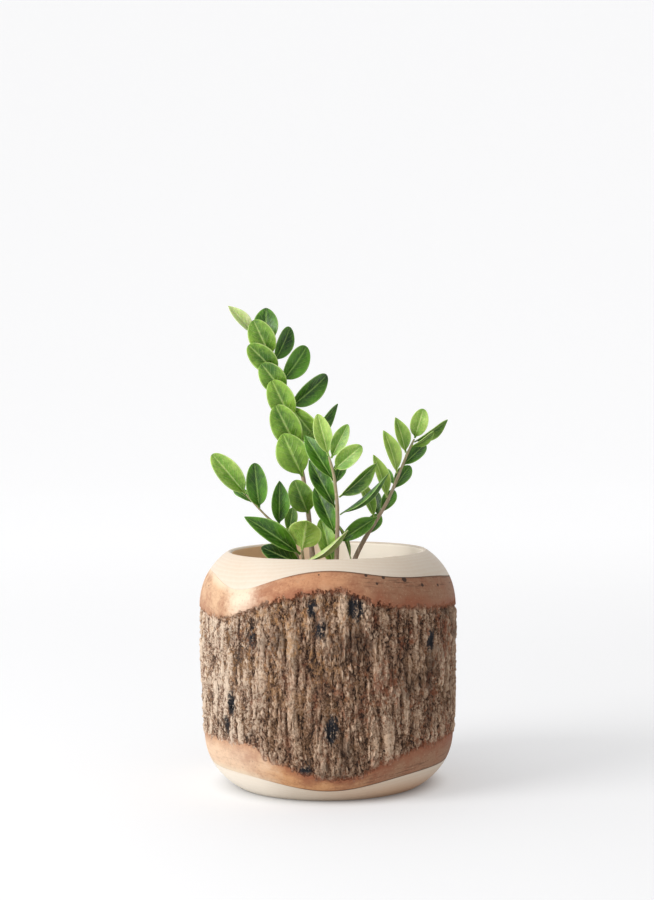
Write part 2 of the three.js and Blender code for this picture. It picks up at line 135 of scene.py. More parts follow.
class Wiring:
    """A material, or the room's own light, and its tree of nodes."""

    def __init__(self, name: str, world: bpy.types.World | None = None) -> None:
        """Starts a tree with nothing but a shader and an output.

        Args:
            name: The material's name.
            world: The world whose tree it is, if it is no material's.
        """
        self.material = world or bpy.data.materials.new(name)
        self.material.use_nodes = True
        self.tree = self.material.node_tree
        self.shader = next(n for n in self.tree.nodes if n.type in ("BSDF_PRINCIPLED", "BACKGROUND"))

    def node(
        self, kind: str, settings: dict | None = None, sockets: dict | None = None, out: int | str = 0
    ) -> Signal:
        """Adds a node.

        Args:
            kind: The node's type.
            settings: Its own settings, which are set first.
            sockets: The value or Signal of each input, by name or number.
            out: The output that is wanted.

        Returns:
            That output.
        """
        made = self.tree.nodes.new(kind)
        for key, value in (settings or {}).items():
            setattr(made, key, value)
        for key, value in (sockets or {}).items():
            self.feed(made.inputs[key], value)
        return Signal(self, made.outputs[out])

    def feed(self, socket: bpy.types.NodeSocket, value: object) -> None:
        """Sets or links one input.

        Args:
            socket: The input.
            value: A Signal to link, or a number, vector or colour to set.
        """
        if isinstance(value, Signal):
            self.tree.links.new(value.socket, socket)
        elif socket.type == "RGBA":
            socket.default_value = (*value, 1.0)
        else:
            socket.default_value = value

    def place(self) -> Signal:
        """Gives Object coordinates, in metres."""
        return self.node("ShaderNodeTexCoord", out="Object")

    def stretched(self, x: float, y: float, z: float) -> Signal:
        """Gives Object coordinates multiplied along each axis."""
        return self.node("ShaderNodeMapping", sockets={"Vector": self.place(), "Scale": (x, y, z)})

    def axis(self, index: int) -> Signal:
        """Gives one of the Object coordinates."""
        return self.node("ShaderNodeSeparateXYZ", sockets={0: self.place()}, out=index)

    def noise(self, vector: Signal, scale: float, detail: float = 4.0, rough: float = 0.55) -> Signal:
        """Gives a noise from 0 to 1.

        Args:
            vector: The coordinates.
            scale: How many of its features a metre holds.
            detail: How many finer layers it has.
            rough: How strong each finer layer is.

        Returns:
            The noise.
        """
        sockets = {"Vector": vector, "Scale": scale, "Detail": detail, "Roughness": rough}
        return self.node("ShaderNodeTexNoise", sockets=sockets)

    def cell_edges(self, vector: Signal, scale: float) -> Signal:
        """Gives the distance to the nearest edge between cells."""
        sockets = {"Vector": vector, "Scale": scale}
        return self.node("ShaderNodeTexVoronoi", {"feature": "DISTANCE_TO_EDGE"}, sockets)

    def attribute(self, name: str) -> Signal:
        """Gives a number that the mesh holds at each point."""
        return self.node("ShaderNodeAttribute", {"attribute_name": name}, out="Fac")

    def mix(self, first: object, second: object, share: object) -> Signal:
        """Mixes two colours.

        Args:
            first: The colour where share is 0.
            second: The colour where share is 1.
            share: How much of the second.

        Returns:
            The mixed colour.
        """
        settings = {"data_type": "RGBA", "clamp_factor": True}
        return self.node("ShaderNodeMix", settings, {0: share, 6: first, 7: second}, out=2)

    def colours(self, share: Signal, stops: list[tuple[float, Colour]]) -> Signal:
        """Turns a share into a colour by a colour ramp.

        Args:
            share: The share, from 0 to 1.
            stops: Each stop's place and colour.

        Returns:
            The colour.
        """
        made = self.node("ShaderNodeValToRGB", sockets={"Fac": share})
        elements = made.socket.node.color_ramp.elements
        while len(elements) < len(stops):
            elements.new(1.0)
        for element, (place, colour) in zip(elements, stops):
            element.position = place
            element.color = (*colour, 1.0)
        return made

    def bump(
        self, height: Signal, depth: float, strength: object, under: Signal | None = None
    ) -> Signal:
        """Gives the normal of a surface with a relief.

        Args:
            height: The relief, from 0 to 1.
            depth: The height of 1, in metres.
            strength: How much of it shows.
            under: A coarser relief's normal.

        Returns:
            The normal.
        """
        sockets = {"Height": height, "Distance": depth, "Strength": strength}
        if under:
            sockets["Normal"] = under
        return self.node("ShaderNodeBump", sockets=sockets)

    def finish(self, **sockets: object) -> bpy.types.Material:
        """Feeds the shader.

        Args:
            sockets: The value of each input, whose name has _ for each space.

        Returns:
            The material.
        """
        for key, value in sockets.items():
            self.feed(self.shader.inputs[key.replace("_", " ")], value)
        return self.material


# ---- Finishes ----


@dataclass(frozen=True)
class Sapwood:
    """Pale turned wood, with faint rings that follow the log's own outline."""

    pale: Colour = srgb(208, 195, 178)
    warm: Colour = srgb(199, 173, 146)
    # A warm brown for the bore's left wall, partly the wood's own tone and partly painted shade.
    heart_and_shade: Colour = srgb(255, 206, 158)
    # A pale tone used as painted light, on the foot's lit left and on the bore's walls.
    painted_light_wood: Colour = srgb(255, 248, 234)
    # The foot's own warm tone, which also carries painted shade low down and on the shaded right.
    warm_foot_and_shade: Colour = srgb(190, 144, 104)
    ring: float = 2.3 * MM

    def material(self) -> bpy.types.Material:
        """Wires the wood.

        Returns:
            The material.
        """
        w = Wiring("turned_sapwood")
        grain = w.noise(w.stretched(1, 1, 0.16), 420, 5, 0.6)
        broad = w.noise(w.place(), 22, 3)
        depth = w.attribute("depth") / self.ring + broad * 1.5
        rings = w.node("ShaderNodeMath", {"operation": "FRACT"}, {0: depth}).ramp(0.0, 0.85)
        colour = w.mix(self.pale, self.warm, rings * 0.22 + (grain - 0.5) * 0.45 + (broad - 0.4) * 0.6)
        # Partly the wood's own warmer foot and partly painted shade: it darkens towards the floor and more
        # on the shaded right side.
        warm_foot_and_shade = w.axis(2).ramp(0.022, 0.0) * w.axis(0).ramp(-0.03, 0.06)
        colour = w.mix(colour, self.warm_foot_and_shade, warm_foot_and_shade * 0.8)
        # Painted light: the foot is lighter low on its left, the side that faces the lamp.
        painted_foot_light = w.axis(2).ramp(0.04, 0.01) * w.axis(0).ramp(-0.02, -0.055)
        colour = w.mix(colour, self.painted_light_wood, painted_foot_light * 0.45)
        # Painted light and shade in the bore: its walls are lifted towards the pale tone so that they read
        # lit, and the
        # left wall, on the shaded side, turns warm brown, partly the wood's own tone and partly painted
        # shade.
        shade = w.axis(0).ramp(0.03, -0.05) * 0.9 + 0.1
        inside = w.attribute("inside")
        colour = w.mix(w.mix(colour, self.painted_light_wood, inside * 0.95), self.heart_and_shade, inside * shade)
        scratches = w.noise(w.stretched(1, 1, 14), 90, 3)
        normal = w.bump(grain + scratches * 0.6, 0.12 * MM, 0.5)
        rough = 0.42 + grain * 0.16
        return w.finish(Base_Color=colour, Roughness=rough, Normal=normal, Specular_IOR_Level=0.4)


@dataclass(frozen=True)
class Grain:
    """The noises that rough bark is made of."""

    fibre: Signal
    crumb: Signal
    crack: Signal
    patch: Signal
    fleck: Signal

    @classmethod
    def of(cls, w: Wiring) -> "Grain":
        """Wires them.

        Args:
            w: The material's wiring.

        Returns:
            The noises. The cracks run between cells whose edges wander.
        """
        around = {"Vector": w.stretched(1, 1, 0.5), "Scale": 170.0}
        wander = w.node("ShaderNodeTexNoise", sockets=around, out=1)
        drift = w.node("ShaderNodeVectorMath", {"operation": "SCALE"}, {0: wander, "Scale": 0.006})
        ends = {0: w.stretched(1, 1, 0.3), 1: drift}
        warped = w.node("ShaderNodeVectorMath", {"operation": "ADD"}, ends)
        return cls(
            fibre=w.noise(w.stretched(1, 1, 0.3), 280, 4, 0.6),
            crumb=w.noise(w.stretched(1, 1, 0.85), 760, 4, 0.75),
            crack=w.cell_edges(warped, 165).ramp(0.0, 0.14),
            patch=w.noise(w.stretched(1, 1, 0.5), 75, 4, 0.6),
            fleck=w.noise(w.stretched(1, 1, 0.7), 330, 4, 0.7),
        )


@dataclass(frozen=True)
class Bark:
    """Rough bark, and the inner bark that the lathe has bared along both its edges.

    wear_and_highlight lists the pale patches of the inner bark, partly wear and partly painted highlight,
    each a middle and a radius.
    """

    fissure: Colour = srgb(46, 32, 25)
    brown: Colour = srgb(117, 86, 65)
    grey: Colour = srgb(157, 128, 105)
    tan: Colour = srgb(208, 180, 154)
    red: Colour = srgb(140, 80, 54)
    gold: Colour = srgb(190, 142, 92)
    soot: Colour = srgb(38, 38, 42)
    line: Colour = srgb(120, 78, 56)
    orange: Colour = srgb(186, 134, 97)
    umber: Colour = srgb(146, 109, 84)
    rust: Colour = srgb(140, 82, 56)
    straw: Colour = srgb(204, 168, 134)
    amber: Colour = srgb(200, 150, 100)
    cream: Colour = srgb(216, 196, 170)
    # A pale tone for weathering, also used as painted light and painted highlight on the lit left.
    faded_and_painted_light: Colour = srgb(234, 213, 190)
    # Pale patches of the inner bark, partly wear and partly painted highlight.
    wear_and_highlight: tuple[Mark, ...] = (((-0.062, -0.075, 0.152), 0.015),)

    def material(self, holes: list[Mark], scorches: list[Mark]) -> bpy.types.Material:
        """Wires the bark.

        Args:
            holes: The worm holes, each a middle and a radius. Each is only a dark spot of painted shade.
            scorches: The black patches, in the same way.

        Returns:
            The material.
        """
        w = Wiring("log_bark")
        grain = Grain.of(w)
        rough = self._rough(w, grain, scorches)
        edge = (w.attribute("edge") + (grain.fleck - 0.5) * 1.2).ramp(0.35, 1.0)
        rough = w.mix(rough, self.rust, edge * (0.75 - w.axis(0).ramp(0.0, -0.06) * 0.45))
        bared = (w.attribute("bared") + (grain.crumb - 0.5) * 1.2).ramp(0.2, 0.8)
        colour = w.mix(rough, self._inner(w), bared)
        # Painted shade: each worm hole is a flat dark spot that stands for the shade inside it.
        colour = w.mix(colour, self.fissure, self._marks(w, holes, grain.crumb, 0.6, 1.0) * 0.9)
        dull = 0.93 - bared * 0.24
        relief = grain.crumb + grain.fibre * 0.5 + grain.crack * 0.6
        normal = w.bump(relief, 1.3 * MM, 1 - bared * 0.93)
        return w.finish(Base_Color=colour, Roughness=dull, Normal=normal, Specular_IOR_Level=0.3)

    def _rough(self, w: Wiring, grain: Grain, scorches: list[Mark]) -> Signal:
        """Wires the rough bark.

        Args:
            w: The material's wiring.
            grain: Its noises.
            scorches: The black patches, each a middle and a radius.

        Returns:
            Its colour.
        """
        fibre, crumb, patch, fleck = grain.fibre, grain.crumb, grain.patch, grain.fleck
        # The colour follows the relief: low parts go dark and ridge tops tan, partly the bark's own darker
        # fissures
        # and paler crests and partly painted shade in the recesses and painted highlight on the crests.
        level = w.attribute("relief") * 0.85 + (fibre - 0.5) * 0.4 + (crumb - 0.5) * 2.1
        level = level + grain.crack * 0.24 - 0.08
        stops = [(0.08, self.fissure), (0.32, self.brown), (0.58, self.grey), (0.98, self.tan)]
        colour = w.colours(level, stops)
        reddish = 0.35 + w.axis(0).ramp(-0.04, 0.06) * 0.3
        colour = w.mix(colour, self.red, (patch * 0.7 + fleck).ramp(0.86, 1.04) * reddish)
        # Golden flecks, partly the bark's own colour and partly painted highlight: more of them on the lit
        # upper left.
        golden = w.axis(0).ramp(0.04, -0.02) * w.axis(2).ramp(0.05, 0.12) * 0.45 + 0.12
        colour = w.mix(colour, self.gold, (patch * 0.7 - fleck).ramp(-0.14, -0.3) * golden)
        blot = w.noise(w.stretched(1, 1, 0.7), 38, 3, 0.6)
        colour = w.mix(colour, self.fissure, (blot + crumb * 0.4).ramp(0.74, 0.9) * 0.55)
        # Paler on the left, most on the ridges: partly weathered bark and partly painted light on the lit
        # side.
        weathered_and_painted_light = w.axis(0).ramp(-0.03, -0.085) * (level.ramp(0.3, 0.85) * 0.75 + 0.04)
        colour = w.mix(colour, self.faded_and_painted_light, weathered_and_painted_light)
        torn = patch * 0.9 + fleck * 0.9 + fibre * 0.5 - 0.65
        black = self._marks(w, scorches, torn, 2.7, 0.55, 0.4) * level.ramp(1.15, 0.55)
        return w.mix(colour, self.soot, black)

    def _marks(
        self, w: Wiring, marks: list[Mark], ragged: Signal, rag: float, squash: float, soft: float = 0.2
    ) -> Signal:
        """Finds the small marks.

        Args:
            w: The material's wiring.
            marks: Each mark's middle and radius.
            ragged: A noise that makes their edges uneven.
            rag: How uneven, in radii.
            squash: Each mark is as wide as this share of its height.
            soft: How wide their edges are, in radii.

        Returns:
            1 on a mark and 0 elsewhere.
        """
        place = w.stretched(1, 1, squash)
        total = 0.0
        for (x, y, z), radius in marks:
            ends = {0: place, 1: (x, y, z * squash)}
            apart = w.node("ShaderNodeVectorMath", {"operation": "DISTANCE"}, ends, out=1)
            total = (apart / radius + (ragged - 0.5) * rag).ramp(0.95 + soft, 0.95 - soft) + total
        return total

    def _inner(self, w: Wiring) -> Signal:
        """Wires the inner bark, straw on the left and umber on the right, partly painted light, with
        blotches.

        Args:
            w: The material's wiring.

        Returns:
            Its colour.
        """
        cloud = w.noise(w.place(), 46, 4, 0.65)
        grit = w.noise(w.place(), 520, 4, 0.7)
        # Partly its own colour and partly painted light: it runs from straw on the lit left to umber on the
        # shaded
        # right, and the straw blotches below are kept to the left.
        side = w.axis(0) + (cloud - 0.5) * 0.04
        colour = w.mix(self.straw, self.orange, side.ramp(-0.075, -0.025))
        colour = w.mix(colour, self.amber, w.axis(2).ramp(0.06, 0.04) * 0.6)
        colour = w.mix(colour, self.umber, side.ramp(-0.005, 0.045) * 0.95)
        colour = w.mix(colour, self.rust, (cloud + grit * 0.35).ramp(0.56, 0.86) * 0.55)
        bright = (cloud - grit * 0.3).ramp(0.3, 0.1) * side.ramp(0.02, -0.04)
        colour = w.mix(colour, self.straw, bright * 0.6)
        # A pale patch, partly wear and partly painted highlight, and painted light low on the lit left.
        pale = self._marks(w, self.wear_and_highlight, cloud * 0.8 + grit * 0.3, 2.0, 1.0, 0.7)
        pale = pale * 0.75 + w.axis(2).ramp(0.05, 0.035) * side.ramp(-0.03, -0.065) * 0.45
        colour = w.mix(colour, self.faded_and_painted_light, pale)
        return self._layered(w, colour, side, cloud, grit)

    def _layered(self, w: Wiring, colour: Signal, side: Signal, cloud: Signal, grit: Signal) -> Signal:
        """Adds the inner bark's layers, which follow the line where it meets the wood.

        Args:
            w: The material's wiring.
            colour: The colour that they go over.
            side: How far to the right each point is, give or take.
            cloud: A broad noise.
            grit: A fine noise.

        Returns:
            The colour with the layers, the grit and the seam's dark line.
        """
        reach = w.attribute("reach")
        around = {0: w.axis(0) * 0.09, 1: w.axis(1) * 0.09, 2: reach}
        streaks = w.noise(w.node("ShaderNodeCombineXYZ", sockets=around), 620, 5, 0.7)
        near = w.attribute("layer") + (cloud - 0.5) * 0.9
        # Redder and darker next to the rough bark, partly its own colour and partly painted shade under its
        # raised edge.
        colour = w.mix(colour, self.rust, near.ramp(0.45, 1.05) * (0.85 - side.ramp(-0.01, -0.06) * 0.5))
        colour = w.mix(colour, self.line, streaks.ramp(0.5, 0.68) * (0.2 + side.ramp(-0.01, 0.04) * 0.3))
        rings = reach.ramp(0.011, 0.003) * side.ramp(0.01, 0.04) * streaks.ramp(0.52, 0.62)
        colour = w.mix(colour, self.fissure, rings * 0.5)
        colour = w.mix(colour, self.fissure, grit.ramp(0.54, 0.8) * 0.45)
        colour = w.mix(colour, self.straw, grit.ramp(0.44, 0.28) * 0.3)
        dark = (reach + (grit - 0.5) * 0.0012).ramp(0.0014, 0.0003)
        feathered = (reach + (cloud - 0.5) * 0.008).ramp(0.006, 0.0) * side.ramp(-0.03, -0.06)
        colour = w.mix(colour, self.cream, feathered * 0.8)
        return w.mix(colour, self.fissure, dark * side.ramp(-0.045, -0.015) * (0.85 - cloud * 0.5))


class Tone(Enum):
    """The four greens of the leaflets, youngest last. Each value is a slot of the record."""

    DARK = "leaf_dark"
    MID = "leaf_mid"
    LIGHT = "leaf_light"
    PALE = "leaf_pale"


@dataclass(frozen=True)
class LeafGreen:
    """A waxy leaf."""

    tone: Tone
    deep: Colour
    bright: Colour
    rib: Colour
    gloss: float = 0.3

    def material(self) -> bpy.types.Material:
        """Wires the leaf.

        Returns:
            The material.
        """
        w = Wiring(self.tone.value)
        uv = w.node("ShaderNodeSeparateXYZ", sockets={0: w.node("ShaderNodeUVMap", {"uv_map": "blade"})})
        along = Signal(w, uv.socket.node.outputs[0])
        side = abs(Signal(w, uv.socket.node.outputs[1]) - 0.5) * 2
        mottle = w.noise(w.place(), 190, 5, 0.68)
        fleck = w.noise(w.place(), 1100, 4, 0.7)
        sweep = w.noise(w.place(), 62, 2, 0.5)
        veins = w.node("ShaderNodeMath", {"operation": "SINE"}, {0: along * 64 - side * 15 + mottle * 4})
        vein = veins.ramp(0.6, 1.0) * side.ramp(0.9, 0.3)
        share = (mottle - 0.5) * 1.5 + (sweep - 0.5) * 1.5 + 0.42
        share = share + w.attribute("shade") + (fleck - 0.5) * 0.9
        colour = w.mix(self.deep, self.bright, share + side.ramp(0.3, 0.85) * 0.25)
        colour = w.mix(colour, self.rib, vein * 0.16)
        # Painted shade: the blade is darker on both sides of the rib, in its crease.
        colour = w.mix(colour, self.deep, side.ramp(0.06, 0.14) * side.ramp(0.45, 0.2) * 0.4)
        rib = side.ramp(0.09, 0.025) * (1 - along * 0.7)
        colour = w.mix(colour, self.rib, rib * 0.65)
        colour = w.mix(colour, self.rib, side.ramp(0.86, 0.97) * 0.55)
        colour = w.mix(colour, self.rib, along.ramp(0.1, 0.02) * 0.6)
        swell = w.bump(sweep, 5 * MM, 0.5)
        normal = w.bump(mottle * 0.6 + vein * 0.5 + fleck * 0.25, 0.8 * MM, 0.8, swell)
        rough = self.gloss + mottle * 0.16
        return w.finish(
            Base_Color=colour,
            Roughness=rough,
            Normal=normal,
            Subsurface_Weight=0.22,
            Subsurface_Radius=(0.35, 1.0, 0.15),
            Subsurface_Scale=1.2 * MM,
            Specular_IOR_Level=0.4,
            Coat_Weight=0.12,
            Coat_Roughness=0.25,
        )


GREENS = {
    green.tone: green
    for green in (
        LeafGreen(Tone.DARK, srgb(20, 60, 6), srgb(88, 142, 26), srgb(172, 202, 112), 0.25),
        LeafGreen(Tone.MID, srgb(52, 98, 12), srgb(142, 180, 64), srgb(206, 222, 142), 0.32),
        LeafGreen(Tone.LIGHT, srgb(98, 142, 38), srgb(176, 203, 98), srgb(216, 230, 156), 0.34),
        LeafGreen(Tone.PALE, srgb(172, 192, 108), srgb(210, 220, 158), srgb(228, 234, 190), 0.42),
    )
}


@dataclass(frozen=True)
class StalkSkin:
    """A leaf stalk's skin, brown at its foot and greener where it is young."""

    foot: Colour = srgb(158, 132, 112)
    young: Colour = srgb(152, 150, 104)
    streak: Colour = srgb(208, 192, 168)

    def material(self) -> bpy.types.Material:
        """Wires the skin.

        Returns:
            The material.
        """
        w = Wiring("stalk_skin")
        speckle = w.noise(w.place(), 700, 3, 0.6)
        lines = w.noise(w.stretched(1, 1, 0.12), 900, 3)
        colour = w.mix(self.foot, self.young, w.attribute("young") + (speckle - 0.5) * 0.4)
        colour = w.mix(colour, self.streak, lines.ramp(0.5, 0.72) * 0.6)
        normal = w.bump(speckle + lines, 0.25 * MM, 0.6)
        return w.finish(
            Base_Color=colour, Roughness=0.5, Normal=normal, Subsurface_Weight=0.08, Subsurface_Scale=1 * MM
        )


@dataclass(frozen=True)
class Earth:
    """Peat, and the bits in it, each in its own two colours."""

    name: str
    dark: Colour
    light: Colour
    rough: float = 0.95

    def material(self) -> bpy.types.Material:
        """Wires it.

        Returns:
            The material.
        """
        w = Wiring(self.name)
        grain = w.noise(w.place(), 800, 5, 0.7)
        clump = w.noise(w.place(), 120, 4)
        colour = w.mix(self.dark, self.light, (grain - 0.35) * 1.3 + (clump - 0.5))
        return w.finish(Base_Color=colour, Roughness=self.rough, Normal=w.bump(grain, 0.6 * MM, 0.8))


PEAT = Earth("peat", srgb(28, 20, 15), srgb(82, 62, 46))
CHIPS = Earth("bark_chips", srgb(70, 46, 30), srgb(142, 104, 72))
PERLITE = Earth("perlite", srgb(190, 186, 178), srgb(236, 234, 228), 0.85)
TUBER = Earth("rhizome_skin", srgb(120, 92, 60), srgb(186, 158, 116), 0.8)


# ---- Modelling by hand ----


def added(name: str, data: bpy.types.ID | None) -> bpy.types.Object:
    """Adds an object to the scene.

    Args:
        name: Its name.
        data: Its mesh, camera or light, or nothing for an empty.

    Returns:
        The object.
    """
    piece = bpy.data.objects.new(name, data)
    bpy.context.scene.collection.objects.link(piece)
    return piece


def only(piece: bpy.types.Object) -> None:
    """Selects one object and makes it active.

    Args:
        piece: The object.
    """
    bpy.ops.object.select_all(action="DESELECT")
    piece.select_set(True)
    bpy.context.view_layer.objects.active = piece


def apply(piece: bpy.types.Object, kind: str, **settings: object) -> None:
    """Adds a modifier, sets it and applies it.

    Args:
        piece: The object.
        kind: The modifier's type.
        settings: Its settings, by name.
    """
    only(piece)
    modifier = piece.modifiers.new(kind.lower(), kind)
    for key, value in settings.items():
        setattr(modifier, key, value)
    bpy.ops.object.modifier_apply(modifier=modifier.name)


def displace(
    piece: bpy.types.Object, kind: str, size: float, strength: float,
    pattern: dict | None = None, **settings: object,
) -> None:
    """Moves a mesh's points out and in by a procedural texture.

    Args:
        piece: The object.
        kind: The texture's type.
        size: How large its features are.
        strength: How far it moves the points in all.
        pattern: The texture's other settings, by name.
        settings: The modifier's other settings, by name.
    """
    texture = bpy.data.textures.new(kind.lower(), kind)
    texture.noise_scale = size
    for key, value in (pattern or {}).items():
        setattr(texture, key, value)
    apply(piece, "DISPLACE", texture=texture, strength=strength, mid_level=0.5, **settings)


def points_of(piece: bpy.types.Object) -> np.ndarray:
    """Gives a mesh's points.

    Args:
        piece: The object.

    Returns:
        One row for each point.
    """
    flat = np.empty(len(piece.data.vertices) * 3)
    piece.data.vertices.foreach_get("co", flat)
    return flat.reshape(-1, 3)


def move_points(piece: bpy.types.Object, points: np.ndarray) -> None:
    """Puts a mesh's points where they are given."""
    piece.data.vertices.foreach_set("co", points.ravel())
    piece.data.update()


def hold(piece: bpy.types.Object, name: str, values: np.ndarray) -> None:
    """Stores a number at each point of a mesh.

    Args:
        piece: The object.
        name: The attribute's name.
        values: One number for each point.
    """
    attribute = piece.data.attributes.new(name, "FLOAT", "POINT")
    attribute.data.foreach_set("value", np.asarray(values, dtype=np.float32))


def tidy_mesh(piece: bpy.types.Object, apart: float = 0.01 * MM, angle: float = 40.0) -> None:
    """Merges doubled points, turns every face outwards and shades the mesh smooth.

    Args:
        piece: The object.
        apart: Points closer than this are one.
        angle: Edges sharper than this many degrees stay sharp.
    """
    only(piece)
    bpy.ops.object.mode_set(mode="EDIT")
    bpy.ops.mesh.select_all(action="SELECT")
    bpy.ops.mesh.remove_doubles(threshold=apart)
    bpy.ops.mesh.normals_make_consistent(inside=False)
    bpy.ops.object.mode_set(mode="OBJECT")
    bpy.ops.object.shade_smooth_by_angle(angle=math.radians(angle))


def install(piece: bpy.types.Object, nodes: list[str], material: bpy.types.Material) -> None:
    """Dresses a finished piece and puts it in the place of its nodes.

    Args:
        piece: The finished piece.
        nodes: The frame's nodes that it stands for.
        material: Its finish.
    """
    piece.data.materials.clear()
    piece.data.materials.append(material)
    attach(piece, ROOT)
    if nodes:
        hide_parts(*nodes)
    LOG.info("%s: %d faces", piece.name, len(piece.data.polygons))


def tube(name: str, sides: int, cuts: list[int]) -> tuple[bpy.types.Object, np.ndarray, np.ndarray]:
    """Models an open tube whose wall is cut into rows, ready to be placed.

    Args:
        name: The object's name.
        sides: How many sides it has.
        cuts: The wall is cut this many times, and each part of it again for each later number.

    Returns:
        The object, each point's angle in radians from the front, and each point's row.
    """
    bpy.ops.object.select_all(action="DESELECT")
    bpy.ops.mesh.primitive_cylinder_add(vertices=sides, radius=1, depth=1, end_fill_type="NOTHING")
    piece = bpy.context.active_object
    piece.name = name
    for cut in cuts:
        heights = edge_ends(piece)[:, :, 2]
        select_edges(piece, np.abs(heights[:, 0] - heights[:, 1]) > 1e-6)
        bpy.ops.object.mode_set(mode="EDIT")
        bpy.ops.mesh.subdivide(number_cuts=cut)
        bpy.ops.object.mode_set(mode="OBJECT")
    points = points_of(piece)
    rows = math.prod(cut + 1 for cut in cuts)
    row = np.rint((points[:, 2] + 0.5) * rows).astype(int)
    return piece, np.arctan2(points[:, 0], -points[:, 1]), row


def edge_ends(piece: bpy.types.Object) -> np.ndarray:
    """Gives the ends of a mesh's edges.

    Args:
        piece: The object.

    Returns:
        Two points for each edge.
    """
    ends = np.empty(len(piece.data.edges) * 2, dtype=np.int32)
    piece.data.edges.foreach_get("vertices", ends)
    return points_of(piece)[ends.reshape(-1, 2)]


def select_edges(piece: bpy.types.Object, chosen: np.ndarray) -> None:
    """Selects some of a mesh's edges, and nothing else.

    Args:
        piece: The object.
        chosen: Whether each edge is one of them.
    """
    only(piece)
    bpy.ops.object.mode_set(mode="EDIT")
    bpy.ops.mesh.select_mode(type="EDGE")
    bpy.ops.mesh.select_all(action="DESELECT")
    bpy.ops.object.mode_set(mode="OBJECT")
    piece.data.edges.foreach_set("select", chosen)


def round_points(angle: np.ndarray, radius: np.ndarray, height: np.ndarray) -> np.ndarray:
    """Gives points from their angles, radii and heights."""
    return np.column_stack((radius * np.sin(angle), -radius * np.cos(angle), height))


def flat_row(radius: float, height: float) -> Row:
    """Gives a row that is a true circle."""
    return lambda a: (np.full_like(a, radius), np.full_like(a, height))


# ---- The log ----


@dataclass
class TurnedLog:
    """What the log and the lathe make of the pot: one curve, one outline and two lines.

    The curve's lengths are the lathe's. The outline and the lines are read from the frame.
    """

    belly: float = 100 * MM
    taper: float = 2.8 * MM
    foot: float = 72 * MM
    rim: float = 77 * MM
    bore: float = 74.1 * MM
    lip: float = 2 * MM
    floor: float = 20 * MM
    corner: float = 14 * MM
    shoulder: float = 49 * MM
    foot_round: float = 47 * MM
    fullness: float = 2.7
    ease: float = 0.9
    seam: float = 0.3 * MM
    height: float = field(init=False)
    samples: int = 720
    spoke: int = 3
    blur: int = 18

    def __post_init__(self) -> None:
        """Reads the frame."""
        self.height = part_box("pot_wood")[1].z
        band = points_of(frame["nodes"]["bark_band"])
        radius = np.hypot(band[:, 0], band[:, 1])
        angle = np.degrees(np.arctan2(band[:, 0], -band[:, 1]))
        spokes = np.unique(np.round(angle / self.spoke) * self.spoke)
        near = [np.abs((angle - s + 180) % 360 - 180) < 1.0 for s in spokes]
        spokes, near = zip(*[(s, n) for s, n in zip(spokes, near) if n.any()])
        middle = np.abs(band[:, 2] - self.height / 2) < self.height / 6
        self._angles = np.linspace(-180, 180, self.samples, endpoint=False)
        self._top = self._smooth(spokes, [band[n, 2].max() + self.seam for n in near])
        self._foot = self._smooth(spokes, [band[n, 2].min() - self.seam for n in near])
        self._face = self._smooth(spokes, [radius[n & middle].max() for n in near])

    def _smooth(self, spokes: tuple[float, ...], values: list[float]) -> np.ndarray:
        """Makes a smooth closed curve of a value that is known on some spokes.

        Args:
            spokes: Their angles, in degrees.
            values: The value on each.

        Returns:
            The value at each sampled angle.
        """
        curve = np.interp(self._angles, spokes, values, period=360)
        reach = np.arange(-self.blur, self.blur + 1)
        weights = np.exp(-((reach / 8) ** 2))
        padded = np.concatenate((curve[-self.blur :], curve, curve[: self.blur]))
        return np.convolve(padded, weights / weights.sum(), mode="valid")

    def _at(self, curve: np.ndarray, angle: np.ndarray) -> np.ndarray:
        """Reads a closed curve at angles in radians."""
        return np.interp(np.degrees(angle), self._angles, curve, period=360)

    def top_line(self, angle: np.ndarray) -> np.ndarray:
        """Gives the height at which the bark ends on the shoulder."""
        return self._at(self._top, angle)

    def foot_line(self, angle: np.ndarray) -> np.ndarray:
        """Gives the height at which the bark ends above the foot."""
        return self._at(self._foot, angle)

    def face(self, angle: np.ndarray) -> np.ndarray:
        """Gives the log's own radius over its bark."""
        return self._at(self._face, angle)

    def turned(self, height: np.ndarray) -> np.ndarray:
        """Gives the radius that the lathe cuts to.

        Args:
            height: The heights.

        Returns:
            The radius at each.
        """

        def rounded(share: np.ndarray) -> np.ndarray:
            """Gives the lathe's rounding, from 0 at an end of the pot to 1 at its side."""
            return (1 - (1 - np.clip(share, 0, 1)) ** self.fullness) ** self.ease

        waist = self.belly - self.taper
        below = self.foot + (waist - self.foot) * rounded(height / self.foot_round)
        above = self.rim + (self.belly - self.rim) * rounded((self.height - height) / self.shoulder)
        start = self.height - self.shoulder
        side = np.interp(height, [self.foot_round, start], [waist, self.belly])
        return np.where(height < self.foot_round, below, np.where(height > start, above, side))


